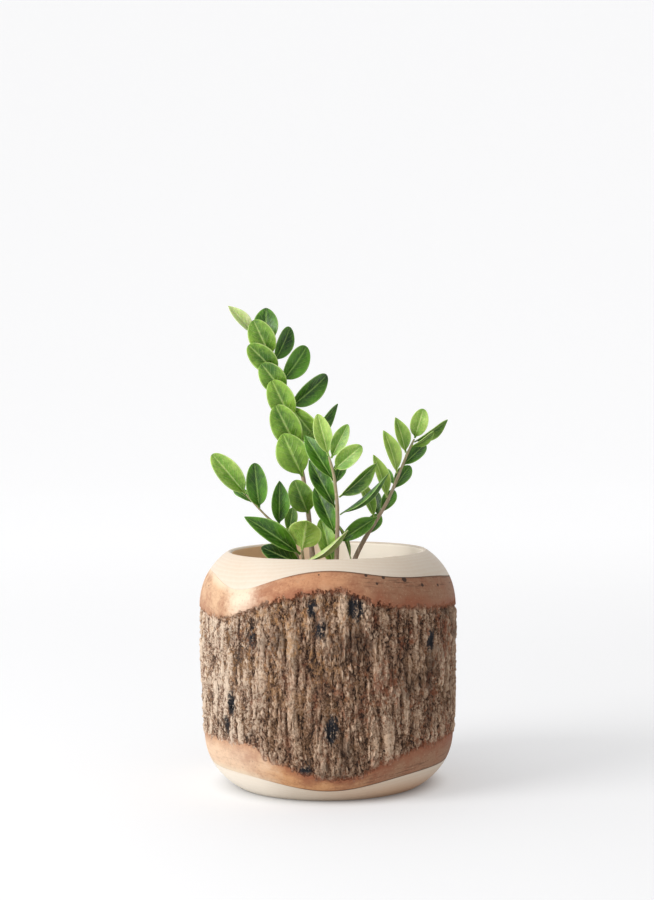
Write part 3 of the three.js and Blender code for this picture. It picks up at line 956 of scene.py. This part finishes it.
@dataclass
class Pot:
    """The pot: its turned wood and the band of bark round it.

    bare_top and bare_foot say how wide the bared inner bark is, in millimetres, at angles in degrees from
    the front. A hole or a scorch is its angle, how far it is below the upper line and its radius.
    """

    log: TurnedLog
    wood_sides: int = 240
    curve_rows: int = 22
    hidden_rows: int = 3
    crest_rows: int = 6
    corner_rows: int = 7
    bark_sides: int = 680
    bark_cuts: tuple[int, ...] = (11, 10)
    let_in: float = 6.2 * MM
    bark_back: float = 5.6 * MM
    relief: float = 0.86 * MM
    raggedness: float = 1.5 * MM
    grown_over: float = 9 * MM
    proudest: float = 1.6 * MM
    crowding: float = 0.09
    bared_blend: float = 1.4 * MM
    edge_width: float = 7 * MM
    sorting_spot: Triple = (0.31, 0.17, 0.05)
    bare_top: tuple[tuple[float, float], ...] = (
        (-130, 18), (-95, 25), (-66, 30), (-50, 22), (-40, 16), (-12, 15), (5, 13), (14, 16), (20, 20),
        (60, 22), (90, 20), (140, 16), (180, 20),
    )
    bare_foot: tuple[tuple[float, float], ...] = (
        (-120, 17), (-70, 21), (-37, 24), (-27, 17), (-12, 12), (4, 8), (15, 9), (24, 14), (42, 18),
        (65, 20), (120, 15), (180, 12),
    )
    holes: tuple[Triple, ...] = (
        (18.5, 1.2, 1.3), (27, 1.2, 1.4), (38, 1.7, 2.2), (23, 6, 1.1), (48, 6, 1.5), (60, 7, 1.3),
        (-4, 2.4, 0.7), (25, 129, 1.2), (-70, 9, 0.8), (112, 3, 1.1), (150, 6, 1.4), (-150, 2, 1.2),
    )
    scorches: tuple[Triple, ...] = (
        (1.5, 115, 4.4), (-0.5, 121, 3.4), (12.5, 25, 5.5), (-3.3, 43, 4.4), (-7, 26, 3.6),
        (-35.5, 38, 4.2), (-48, 86, 4.2), (-52, 103, 3.4), (-11.5, 148, 5), (51, 47, 4.6),
        (128, 70, 5), (-140, 60, 5),
    )

    def wood(self) -> None:
        """Models and dresses the turned wood."""
        rows = self._outer_rows() + self._inner_rows()
        piece, angle, row = tube("turned_pot", self.wood_sides, [len(rows) - 2])
        placed = np.array([rows[r](np.array([a])) for r, a in zip(row, angle)])[:, :, 0]
        move_points(piece, round_points(angle, placed[:, 0], placed[:, 1]))
        tidy_mesh(piece)
        points = points_of(piece)
        radius = np.hypot(points[:, 0], points[:, 1])
        angle = np.arctan2(points[:, 0], -points[:, 1])
        hold(piece, "depth", self.log.face(angle) - radius)
        hold(piece, "inside", (radius < self.log.bore + 0.2 * MM) & (points[:, 2] > self.log.floor - MM))
        install(piece, ["pot_wood"], Sapwood().material())

    def _outer_rows(self) -> list[Row]:
        """Gives the wood's rows from the middle of its foot, up its side and behind the bark, to the rim.

        Returns:
            What gives each row's radii and heights at the points' angles.
        """
        log, last = self.log, self.curve_rows
        rows = [flat_row(radius, 0) for radius in (0, log.foot * 0.6, log.foot - 2 * MM)]
        for i in range(last + 1):
            share = (i / last) ** 1.4
            rows.append(self._skin_row(lambda a, s=share: log.foot_line(a) * s))
        for i in range(self.hidden_rows + 1):
            rows.append(lambda a, s=i / self.hidden_rows: self._behind(a, s))
        for i in range(last + 1):
            share = math.sin(math.pi / 2 * i / last)
            rows.append(
                self._skin_row(lambda a, s=share: log.top_line(a) + (log.height - log.top_line(a)) * s)
            )
        return rows

    def _inner_rows(self) -> list[Row]:
        """Gives the wood's rows over the rim, down the bore and over the floor to its middle.

        Returns:
            What gives each row's radii and heights at the points' angles.
        """
        log = self.log
        rows = []
        for i in range(1, self.crest_rows + 1):
            turn = math.pi / 2 * i / self.crest_rows
            across = (log.rim - log.bore) * math.sin(turn)
            rows.append(flat_row(log.rim - across, log.height - log.lip * (1 - math.cos(turn))))
        for share in (0.25, 0.5, 0.75):
            down = share * (log.height - log.floor - log.corner)
            rows.append(flat_row(log.bore, log.height - log.lip - down))
        for i in range(self.corner_rows + 1):
            turn = math.pi / 2 * i / self.corner_rows
            radius = log.bore - log.corner * (1 - math.cos(turn))
            rows.append(flat_row(radius, log.floor + log.corner * (1 - math.sin(turn))))
        return [*rows, flat_row(0, log.floor)]

    def _skin_row(self, height: Callable[[np.ndarray], np.ndarray]) -> Row:
        """Gives a row on the turned surface."""
        return lambda a: (self.log.turned(height(a)), height(a))

    def _behind(self, angle: np.ndarray, share: float) -> tuple[np.ndarray, np.ndarray]:
        """Places a row of the wood behind the bark.

        Args:
            angle: The points' angles.
            share: How far up it is, from one line to the other.

        Returns:
            The radii and the heights.
        """
        log = self.log
        low, high = log.foot_line(angle), log.top_line(angle)
        edges = log.turned(low) * (1 - share) + log.turned(high) * share
        return edges - self.let_in, low + (high - low) * share

    def bark(self) -> None:
        """Models and dresses the bark."""
        log = self.log
        piece, angle, row = tube("log_bark", self.bark_sides, self.bark_cuts)
        share = row / row.max()
        share -= np.sin(share * math.tau) * self.crowding
        seam = self.seam_at(angle)
        low, high = log.foot_line(angle) + seam, log.top_line(angle) - seam
        height = low + (high - low) * share
        face = np.minimum(log.face(angle), log.turned(height))
        move_points(piece, round_points(angle, face, height))
        self._roughen(piece)
        rough = points_of(piece)
        lift = np.hypot(rough[:, 0], rough[:, 1]) - face
        lift = (lift - lift.mean()) / lift.std()
        inside = self._inside(angle, height)
        ragged = inside + np.clip(lift, -2, 2) * self.raggedness
        move_points(piece, round_points(angle, self._pressed(height, face, lift, ragged), height))
        hold(piece, "relief", np.clip(lift * 0.25 + 0.5, 0, 1))
        hold(piece, "bared", np.clip(0.5 - ragged / self.bared_blend, 0, 1))
        hold(piece, "edge", np.clip(1 - inside / self.edge_width, 0, 1))
        reach = np.minimum(log.top_line(angle) - height, height - log.foot_line(angle))
        hold(piece, "reach", reach)
        hold(piece, "layer", np.clip(reach / (reach - inside), 0, 1))
        self._close(piece)
        holes, scorches = ([self._mark(*mark) for mark in marks] for marks in (self.holes, self.scorches))
        install(piece, ["bark_band"], Bark().material(holes, scorches))

    def _pressed(
        self, height: np.ndarray, face: np.ndarray, lift: np.ndarray, ragged: np.ndarray
    ) -> np.ndarray:
        """Presses the relief flat where the lathe bared the inner bark, and lets it grow away from there.

        Args:
            height: The points' heights.
            face: The radii without relief.
            lift: The relief, in standard deviations.
            ragged: How far each point is inside the rough bark's ragged edge.

        Returns:
            The radii.
        """
        turned = self.log.turned(height)
        grown = np.clip(ragged / self.grown_over, 0, 1)
        proud = lift * self.relief * (0.45 + 0.55 * grown) - self.relief * (0.9 - 0.8 * grown)
        limit = turned + grown * self.proudest
        return np.where(ragged < 0, turned, np.minimum(face + proud, limit))

    def _inside(self, angle: np.ndarray, height: np.ndarray) -> np.ndarray:
        """Tells how far inside the rough bark each point is.

        Args:
            angle: The points' angles.
            height: Their heights.

        Returns:
            The distance from the nearer ragged edge, less than 0 on the bared inner bark.
        """
        degrees = np.degrees(angle)
        bare_top = np.interp(degrees, *zip(*self.bare_top), period=360) * MM
        bare_foot = np.interp(degrees, *zip(*self.bare_foot), period=360) * MM
        above = self.log.top_line(angle) - height - bare_top
        below = height - self.log.foot_line(angle) - bare_foot
        return np.minimum(above, below)

    def _mark(self, angle: float, reach: float, across: float) -> Mark:
        """Places a mark on the turned surface.

        Args:
            angle: Its angle from the front, in degrees.
            reach: How far it is below the upper line, in millimetres.
            across: Its radius, in millimetres.

        Returns:
            Its middle and its radius.
        """
        turn = np.array([math.radians(angle)])
        height = self.log.top_line(turn) - reach * MM
        radius = np.minimum(self.log.turned(height), self.log.face(turn))
        middle = round_points(turn, radius, height)[0]
        return tuple(float(v) for v in middle), across * MM

    def seam_at(self, angle: np.ndarray) -> np.ndarray:
        """Gives the open seam's width between bark and wood, which comes and goes round the pot."""
        return (0.12 + 0.1 * np.sin(angle * 7) * np.sin(angle * 3 + 1)) * MM

    def _roughen(self, piece: bpy.types.Object) -> None:
        """Displaces the log's face into ridges, plates, flakes and crumbs.

        Args:
            piece: The bark, as a smooth tube.
        """
        hard = {"noise_type": "HARD_NOISE"}
        plates = {
            "noise_basis": "VORONOI_F2_F1", "noise_distortion": "ORIGINAL_PERLIN", "distortion": 1.6,
        }
        layers = [
            ("CLOUDS", 8.5, 6.0, 4.0, {"noise_depth": 1, **hard}),
            ("DISTORTED_NOISE", 4.6, 2.4, 1.9, plates),
            ("CLOUDS", 2.4, 1.6, 1.6, {"noise_depth": 2, **hard}),
            ("CLOUDS", 1.4, 0.9, 2.2, {"noise_depth": 2}),
        ]
        for kind, size, stretch, strength, pattern in layers:
            guide = added("guide", None)
            guide.scale = (1, 1, stretch)
            bpy.context.view_layer.update()
            displace(
                piece, kind, size * MM, strength * MM, pattern,
                texture_coords="OBJECT", texture_coords_object=guide,
            )
            bpy.data.objects.remove(guide)

    def _close(self, piece: bpy.types.Object) -> None:
        """Gives the band its back, which stands just clear of the wood.

        Args:
            piece: The bark, with nothing but its face.
        """
        log = self.log
        only(piece)
        bpy.ops.object.mode_set(mode="EDIT")
        bpy.ops.mesh.select_mode(type="EDGE")
        bpy.ops.mesh.select_all(action="DESELECT")
        bpy.ops.mesh.select_non_manifold()
        inward = (log.belly - self.bark_back) / log.belly
        bpy.ops.mesh.extrude_edges_move()
        bpy.ops.transform.resize(value=(inward, inward, 1))
        bpy.ops.mesh.bridge_edge_loops()
        bpy.ops.mesh.select_all(action="SELECT")
        bpy.ops.mesh.normals_make_consistent(inside=False)
        # The new faces come in a chance order, so they are sorted by how far they are from an odd spot.
        cursor = bpy.context.scene.cursor
        cursor.location = self.sorting_spot
        bpy.ops.mesh.sort_elements(type="CURSOR_DISTANCE", elements={"VERT", "EDGE", "FACE"})
        cursor.location = (0, 0, 0)
        bpy.ops.object.mode_set(mode="OBJECT")
        bpy.ops.object.shade_smooth_by_angle(angle=math.radians(60))


# ---- The soil ----


@dataclass(frozen=True)
class Bits:
    """Bits of one kind that lie on the soil, and how many.

    Sizes are the least and the most across, in millimetres, and shape is the bits' proportions.
    """

    name: str
    count: int
    sizes: tuple[float, float]
    shape: Triple
    earth: Earth


@dataclass
class Soil:
    """The peat in the pot, its crumbs, bark chips and perlite, and the rhizome buried in it."""

    log: TurnedLog
    sides: int = 150
    rings: int = 46
    bits: tuple[Bits, ...] = (
        Bits("soil_crumbs", 420, (0.8, 2.4), (1, 1, 0.8), PEAT),
        Bits("soil_chips", 60, (1.8, 3.8), (1, 0.55, 0.3), CHIPS),
        Bits("soil_perlite", 70, (0.8, 1.7), (1, 0.9, 0.8), PERLITE),
    )
    seed: int = 7

    def build(self) -> None:
        """Models and dresses the soil and everything in it."""
        self._body()
        rng = np.random.default_rng(self.seed)
        for bits in self.bits:
            self._scatter(bits, rng)
        tuber = frame["nodes"]["rhizome"]
        tuber.data.materials.clear()
        tuber.data.materials.append(TUBER.material())

    def level(self, radius: np.ndarray) -> np.ndarray:
        """Gives the soil's height, which falls towards the wall."""
        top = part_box("soil")[1].z
        return top - 0.4 * MM - 3 * MM * (radius / self.log.bore) ** 2

    def _body(self) -> None:
        """Models the peat's own surface, and its sides and bottom inside the pot."""
        log = self.log
        edge = log.bore - 0.3 * MM
        piece, angle, row = tube("potting_soil", self.sides, [self.rings + 2])
        radius = np.clip((row - 2) / (self.rings + 1), 0, 1) ** 0.8 * edge
        radius = np.where(row >= 3, (1 - (row - 3) / self.rings) ** 0.8 * edge, edge)
        height = self.level(radius)
        height = np.where(row == 2, self.level(np.full_like(radius, edge)) - 3 * MM, height)
        height = np.where(row <= 1, log.floor + log.corner, height)
        radius = np.where(row == 0, 0, radius)
        move_points(piece, round_points(angle, radius, height))
        tidy_mesh(piece)
        for kind, size, strength in (("CLOUDS", 16, 3.0), ("CLOUDS", 4, 2.6), ("VORONOI", 2.6, -1.4)):
            displace(
                piece, kind, size * MM, strength * MM,
                texture_coords="GLOBAL", direction="Z", vertex_group=self._top_only(piece),
            )
        install(piece, ["soil"], PEAT.material())

    def _top_only(self, piece: bpy.types.Object) -> str:
        """Groups the points on top of the soil that are clear of its edge.

        Args:
            piece: The soil.

        Returns:
            The group's name.
        """
        group = piece.vertex_groups.get("top") or piece.vertex_groups.new(name="top")
        points = points_of(piece)
        radius = np.hypot(points[:, 0], points[:, 1])
        top = (points[:, 2] > self.level(radius) - 4 * MM) & (radius < self.log.bore - 1.5 * MM)
        group.add(np.flatnonzero(top).tolist(), 1.0, "REPLACE")
        return group.name

    def _scatter(self, bits: Bits, rng: np.random.Generator) -> None:
        """Strews bits of one kind over the soil and joins them.

        Args:
            bits: The kind.
            rng: Where the chances come from.
        """
        bpy.ops.object.select_all(action="DESELECT")
        bpy.ops.mesh.primitive_ico_sphere_add(subdivisions=2, radius=0.5)
        bit = bpy.context.active_object
        displace(bit, "CLOUDS", 0.45, 0.55)
        apply(bit, "DECIMATE", ratio=0.5)
        made = [added(bits.name, bit.data.copy()) for _ in range(bits.count)]
        for copy in made:
            copy.data.transform(self._strewn(bits, rng))
        bpy.data.objects.remove(bit)
        bpy.ops.object.select_all(action="DESELECT")
        for copy in made:
            copy.select_set(True)
        bpy.context.view_layer.objects.active = made[0]
        bpy.ops.object.join()
        bpy.ops.object.shade_smooth()
        install(made[0], [], bits.earth.material())

    def _strewn(self, bits: Bits, rng: np.random.Generator) -> Matrix:
        """Draws the place, the size and the turn of one bit.

        Args:
            bits: Its kind.
            rng: Where the chances come from.

        Returns:
            What carries the modelled bit there.
        """
        radius = (self.log.bore - 3 * MM) * math.sqrt(rng.random())
        angle = rng.random() * math.tau
        across = rng.uniform(*bits.sizes) * MM
        place = Vector((radius * math.sin(angle), -radius * math.cos(angle), 0))
        place.z = float(self.level(np.array(radius))) + across * 0.18
        turn = Matrix.Rotation(rng.random() * math.tau, 4, "Z")
        tilt = Matrix.Rotation(rng.uniform(-0.6, 0.6), 4, "X")
        scale = Matrix.Diagonal((*(across * s for s in bits.shape), 1.0))
        return Matrix.Translation(place) @ turn @ tilt @ scale


# ---- The plant ----


@dataclass
class Stalks:
    """The leaf stalks, each on the line of its node."""

    names: tuple[str, ...] = ("tall", "left", "front", "middle", "right")

    def build(self) -> None:
        """Models and dresses every stalk."""
        material = StalkSkin().material()
        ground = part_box("soil")[1].z
        for name in self.names:
            node = frame["nodes"][f"{name}_stalk"]
            piece = added(f"{name}_leaf_stalk", node.data.copy())
            tidy_mesh(piece, 0.02 * MM)
            apply(piece, "SUBSURF", levels=2, render_levels=2)
            displace(piece, "CLOUDS", 7 * MM, 0.5 * MM, texture_coords="GLOBAL")
            tidy_mesh(piece, 0.001 * MM, 70)
            height = points_of(piece)[:, 2]
            hold(piece, "young", np.clip((height - ground) / (height.max() - ground), 0, 1) ** 1.6 * 0.75)
            install(piece, [node.name], material)


@dataclass(frozen=True)
class Outline:
    """A leaflet's outline: a half wave, slid towards an end and drawn in at each by its own power."""

    slide: float
    base: float
    tip: float

    def half(self, share: float) -> float:
        """Gives half the width at a share of the blade's length, where the widest is half of 1."""
        power = self.base + (self.tip - self.base) * share
        return 0.5 * max(0.0, math.sin(math.pi * share**self.slide)) ** power


class Shape(Enum):
    """The leaflets' outlines."""

    SLENDER = Outline(0.94, 0.72, 0.82)
    OVAL = Outline(1.0, 0.66, 0.58)
    ROUNDED = Outline(0.98, 0.48, 0.46)
    BROAD = Outline(0.74, 0.42, 0.66)


@dataclass
class LeafPlace:
    """Where one leaflet is, measured from its node. Its fullness is how wide it still is near its tip."""

    base: Vector
    along: Vector
    up: Vector
    length: float
    width: float
    fullness: float

    @classmethod
    def of(cls, node: bpy.types.Object, stalk: bpy.types.Object) -> "LeafPlace":
        """Measures a leaflet's node.

        Args:
            node: The node.
            stalk: The node of the stalk that it grows from.

        Returns:
            Its place.
        """
        points = np.unique(np.round(points_of(node), 6), axis=0)
        gaps = np.linalg.norm(points[:, None] - points[None], axis=2)
        first, last = np.unravel_index(gaps.argmax(), gaps.shape)
        grown = points_of(stalk)
        ends = (points[first], points[last])
        base, tip = sorted(ends, key=lambda end: np.linalg.norm(grown - end, axis=1).min())
        length = float(np.linalg.norm(tip - base))
        along = (tip - base) / length
        spread = points - base
        share = spread @ along / length
        across = spread - np.outer(spread @ along, along)
        _, _, axes = np.linalg.svd(across - across.mean(0), full_matrices=False)
        side = axes[0] - (axes[0] @ along) * along
        side /= np.linalg.norm(side)
        up = np.cross(along, side)
        reach = np.abs(across @ side)
        rise = across @ up
        edge = reach > 0.75 * reach.max()
        middle = (reach < 0.1 * reach.max()) & (np.abs(share - 0.5) < 0.3)
        if rise[edge].mean() < rise[middle].mean():
            up = -up
        fullness = float(reach[np.abs(share - 0.85) < 0.06].max() / reach.max())
        return cls(Vector(base), Vector(along), Vector(up), length, float(2 * reach.max()), fullness)

    def matrix(self) -> Matrix:
        """Gives the turn and the place that carry a modelled leaflet there.

        Returns:
            The matrix.
        """
        side = self.up.cross(self.along)
        turn = Matrix((self.along, side, self.up)).transposed()
        return Matrix.Translation(self.base) @ turn.to_4x4()


@dataclass
class Leaflets:
    """All the leaflets. Each shape of blade is modelled once, flat, and every leaflet is a copy of one."""

    long_cuts: int = 26
    cross_cuts: int = 12
    thickness: float = 0.55 * MM
    stalk_share: float = 0.075
    stalk_width: float = 0.085
    breadth: dict[str, float] = field(default_factory=lambda: {"tall": 1.12})
    singled_out: dict[str, Shape] = field(default_factory=lambda: {"front_leaflet_01": Shape.BROAD})
    slender_below: float = 0.53
    oval_below: float = 0.67
    fold: tuple[float, float] = (0.27, 0.38)
    arch: tuple[float, float] = (0.05, 0.14)
    droop: tuple[float, float] = (-0.12, 0.05)
    wave: float = 0.025
    twist: float = 0.25
    seed: int = 23228
    shade: float = 0.32

    def build(self) -> None:
        """Models and dresses every leaflet."""
        blades = {shape: self._blade(shape) for shape in Shape}
        greens = {tone: green.material() for tone, green in GREENS.items()}
        slots = {s["node"]: s["material_slot"] for s in frame["record"]["subparts"]}
        rng = np.random.default_rng(self.seed)
        for name in sorted(n for n in frame["nodes"] if "_leaflet_" in n):
            branch = name.split("_")[0]
            place = LeafPlace.of(frame["nodes"][name], frame["nodes"][f"{branch}_stalk"])
            place.width *= self.breadth.get(branch, 1.0)
            blade = blades[self.singled_out.get(name) or self._shape(place.fullness)]
            piece = self._copy(blade, name.replace("_leaflet_", "_leaf_"), place, rng)
            tone = Tone(slots[name])
            install(piece, [name], greens[tone])
        for blade in blades.values():
            bpy.data.objects.remove(blade)

    def _shape(self, fullness: float) -> Shape:
        """Picks the outline that suits a leaflet's fullness."""
        narrow = Shape.SLENDER if fullness < self.slender_below else Shape.OVAL
        return narrow if fullness < self.oval_below else Shape.ROUNDED

    def _blade(self, shape: Shape) -> bpy.types.Object:
        """Models a flat blade, 1 long and 1 wide, with a UV map and a short stalk.

        Args:
            shape: The blade's outline.

        Returns:
            The blade, as a sheet.
        """
        bpy.ops.object.select_all(action="DESELECT")
        bpy.ops.mesh.primitive_grid_add(
            x_subdivisions=self.long_cuts, y_subdivisions=self.cross_cuts, size=1, location=(0.5, 0, 0)
        )
        piece = bpy.context.active_object
        piece.name = shape.name.lower()
        bpy.ops.object.transform_apply(location=True, rotation=False, scale=False)
        piece.data.uv_layers[0].name = "blade"
        points = points_of(piece)
        points[:, 0] = (1 - np.cos(points[:, 0] * math.pi)) / 2
        for column in np.unique(np.round(points[:, 0], 6)):
            share = max(0.0, (column - self.stalk_share) / (1 - self.stalk_share))
            least = self.stalk_width / 2 if column < 0.5 else 0.01
            half = max(least, shape.value.half(share))
            chosen = np.abs(points[:, 0] - column) < 1e-5
            points[chosen, 1] *= 2 * half
        move_points(piece, points)
        return piece

    def _copy(
        self, blade: bpy.types.Object, name: str, place: LeafPlace, rng: np.random.Generator
    ) -> bpy.types.Object:
        """Makes one leaflet of a blade: sizes it, bends it, thickens it and carries it to its place.

        Args:
            blade: The blade to copy.
            name: The leaflet's name.
            place: Where it goes.
            rng: Where the chances come from.

        Returns:
            The leaflet.
        """
        piece = added(name, blade.data.copy())
        move_points(piece, self._curled(points_of(piece), place, rng))
        shade = rng.uniform(-self.shade, self.shade)
        hold(piece, "shade", np.full(len(piece.data.vertices), shade))
        apply(piece, "SOLIDIFY", thickness=self.thickness, offset=-1)
        apply(piece, "SUBSURF", levels=1, render_levels=1)
        piece.data.transform(place.matrix())
        only(piece)
        bpy.ops.object.shade_smooth()
        return piece

    def _curled(self, flat: np.ndarray, place: LeafPlace, rng: np.random.Generator) -> np.ndarray:
        """Sizes a flat blade's points, folds them along the rib and arches, waves and twists them.

        Args:
            flat: The points.
            place: Where the leaflet goes.
            rng: Where the chances come from.

        Returns:
            The moved points.
        """
        share, side = flat[:, 0], flat[:, 1]
        half = np.abs(side) * 2
        bulge = 4 * share * (1 - share)
        crease = min(1.5, max(0.2, 2.2 - 2.6 * place.width / place.length))
        fold = rng.uniform(*self.fold) * crease * half**1.25 * (1 - 0.6 * share**2)
        groove = -0.03 * np.exp(-((half / 0.07) ** 2)) * np.clip(1.15 - share, 0, 1)
        arch = rng.uniform(*self.arch) * bulge
        droop = rng.uniform(*self.droop) * share**3
        wave = rng.uniform(-self.wave, self.wave) * np.sin(share * 9 + rng.uniform(0, 6)) * half
        twist = rng.uniform(-self.twist, self.twist) * (share - 0.3) * side
        rise = fold + groove + arch + droop + wave + twist
        return np.column_stack((share * place.length, side * place.width, rise * place.width))


# ---- The studio ----


@dataclass
class Studio:
    """The pale floor, the soft light and the camera.

    floor_glow says how much of its own tone the floor gives off near the pot and far behind it, painted
    light that lifts the cast shadow, and foot_shade how far from the pot's axis that glow starts and is
    full, a painted contact shadow.
    """

    eye: Triple = (0.0008, -1.470, 0.318)
    pitch: float = -2.3
    roll: float = 0.6
    lens: float = 75.6
    floor_size: float = 12
    wall_height: float = 6
    sweep: float = 2.5
    floor_tone: Colour = (0.55, 0.55, 0.552)
    floor_glow: tuple[float, float] = (0.57, 0.88)
    foot_shade: tuple[float, float] = (0.068, 0.096)
    room_way: Triple = (-0.85, 0.0, 0.45)
    room_lit: Colour = (0.97, 0.97, 0.98)
    room_dim: Colour = (0.47, 0.47, 0.475)
    key_place: Triple = (-1.5, -0.82, 1.08)
    key_aim: Triple = (0, 0, 0.15)
    key_size: float = 1.2
    key_watts: float = 29

    def build(self) -> None:
        """Sets everything up."""
        self._camera()
        self._floor()
        self._lights()
        LOG.info("studio ready")

    def _camera(self) -> None:
        """Places the camera."""
        data = bpy.data.cameras.new("camera")
        data.lens = self.lens
        data.sensor_width = 36
        data.clip_end = 50
        camera = added("camera", data)
        upright = Matrix.Rotation(math.radians(90 + self.pitch), 4, "X")
        leaning = Matrix.Rotation(math.radians(-self.roll), 4, "Z")
        camera.matrix_world = Matrix.Translation(self.eye) @ upright @ leaning
        bpy.context.scene.camera = camera

    def _floor(self) -> None:
        """Models the floor and the wall behind it as one sweep."""
        bpy.ops.object.select_all(action="DESELECT")
        bpy.ops.mesh.primitive_plane_add(size=self.floor_size, location=(0, 0, -0.2 * MM))
        floor = bpy.context.active_object
        floor.name = "floor"
        select_edges(floor, edge_ends(floor)[:, :, 1].min(axis=1) > 0)
        bpy.ops.object.mode_set(mode="EDIT")
        bpy.ops.mesh.extrude_region_move(TRANSFORM_OT_translate={"value": (0, 0, self.wall_height)})
        bpy.ops.object.mode_set(mode="OBJECT")
        apply(floor, "BEVEL", width=self.sweep, segments=16, limit_method="ANGLE")
        bpy.ops.object.shade_smooth()
        floor.data.materials.append(self._floor_finish())

    def _floor_finish(self) -> bpy.types.Material:
        """Wires the floor, which glows a little as painted light, more behind the plant and less round the
        pot's foot, a painted contact shadow.

        Returns:
            The material.
        """
        w = Wiring("floor")
        near, far = (tuple(glow * c for c in self.floor_tone) for glow in self.floor_glow)
        # Painted shadow: the glow fades round the pot's foot, a darker ring that stands for the contact
        # shadow.
        clear = (w.axis(0) ** 2.0 + w.axis(1) ** 2.0) ** 0.5
        glow = w.mix((0, 0, 0), near, clear.ramp(*self.foot_shade) * 0.85 + 0.15)
        return w.finish(
            Base_Color=self.floor_tone, Roughness=0.7, Specular_IOR_Level=0.1,
            Emission_Color=w.mix(glow, far, w.axis(1).ramp(-0.2, 2.4)), Emission_Strength=1.0,
        )

    def _lights(self) -> None:
        """Hangs a broad light on the left, in a room that is brighter on that side."""
        scene = bpy.context.scene
        scene.view_settings.view_transform = "Standard"
        scene.world = scene.world or bpy.data.worlds.new("room")
        w = Wiring("room", scene.world)
        way = w.node("ShaderNodeTexCoord", out="Generated")
        ends = {0: way, 1: self.room_way}
        lit = w.node("ShaderNodeVectorMath", {"operation": "DOT_PRODUCT"}, ends, out=1)
        w.finish(Color=w.mix(self.room_dim, self.room_lit, lit.ramp(-0.7, 0.8)), Strength=1.0)
        data = bpy.data.lights.new("key", "AREA")
        data.shape = "DISK"
        data.size = self.key_size
        data.energy = self.key_watts
        key = added("key", data)
        key.location = self.key_place
        aim = Vector(self.key_aim) - Vector(self.key_place)
        key.rotation_euler = aim.to_track_quat("-Z", "Y").to_euler()


def main() -> None:
    """Builds the studio, the pot, the soil and the plant, in that order."""
    logging.basicConfig(level=logging.INFO, format="%(name)s: %(message)s")
    Studio().build()
    log = TurnedLog()
    pot = Pot(log)
    pot.wood()
    pot.bark()
    Soil(log).build()
    Stalks().build()
    Leaflets().build()


if __name__ == "__main__":
    main()
